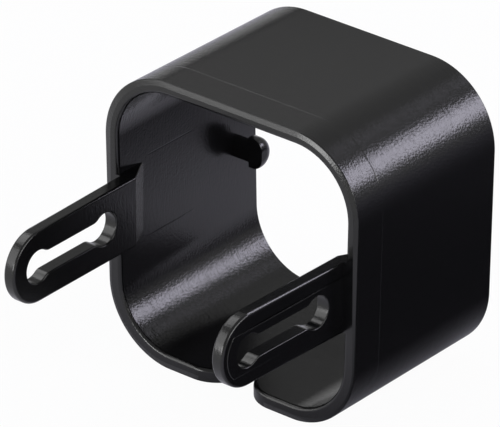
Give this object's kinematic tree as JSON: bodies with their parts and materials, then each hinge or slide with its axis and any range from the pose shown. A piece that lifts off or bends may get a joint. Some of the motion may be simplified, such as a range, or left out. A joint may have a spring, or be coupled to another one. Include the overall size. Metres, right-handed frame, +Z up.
{
  "type": "modular cable holder",
  "caption": "Open-bottomed rounded square cable ring with slotted front arms and headed inner studs that link one ring to the next.",
  "frame": {"origin": "middle of the ring's underside, in the slit, halfway between the front and back edges", "axes": "+X to the right, +Y to the back edge with the studs, +Z up; the arms point to -Y"},
  "size_m": [0.075, 0.0924, 0.0745],
  "materials": {
    "black_plastic": "satin black"
  },
  "bodies": {
    "root": {"cable_holder": "black_plastic"}
  },
  "joints": []
}
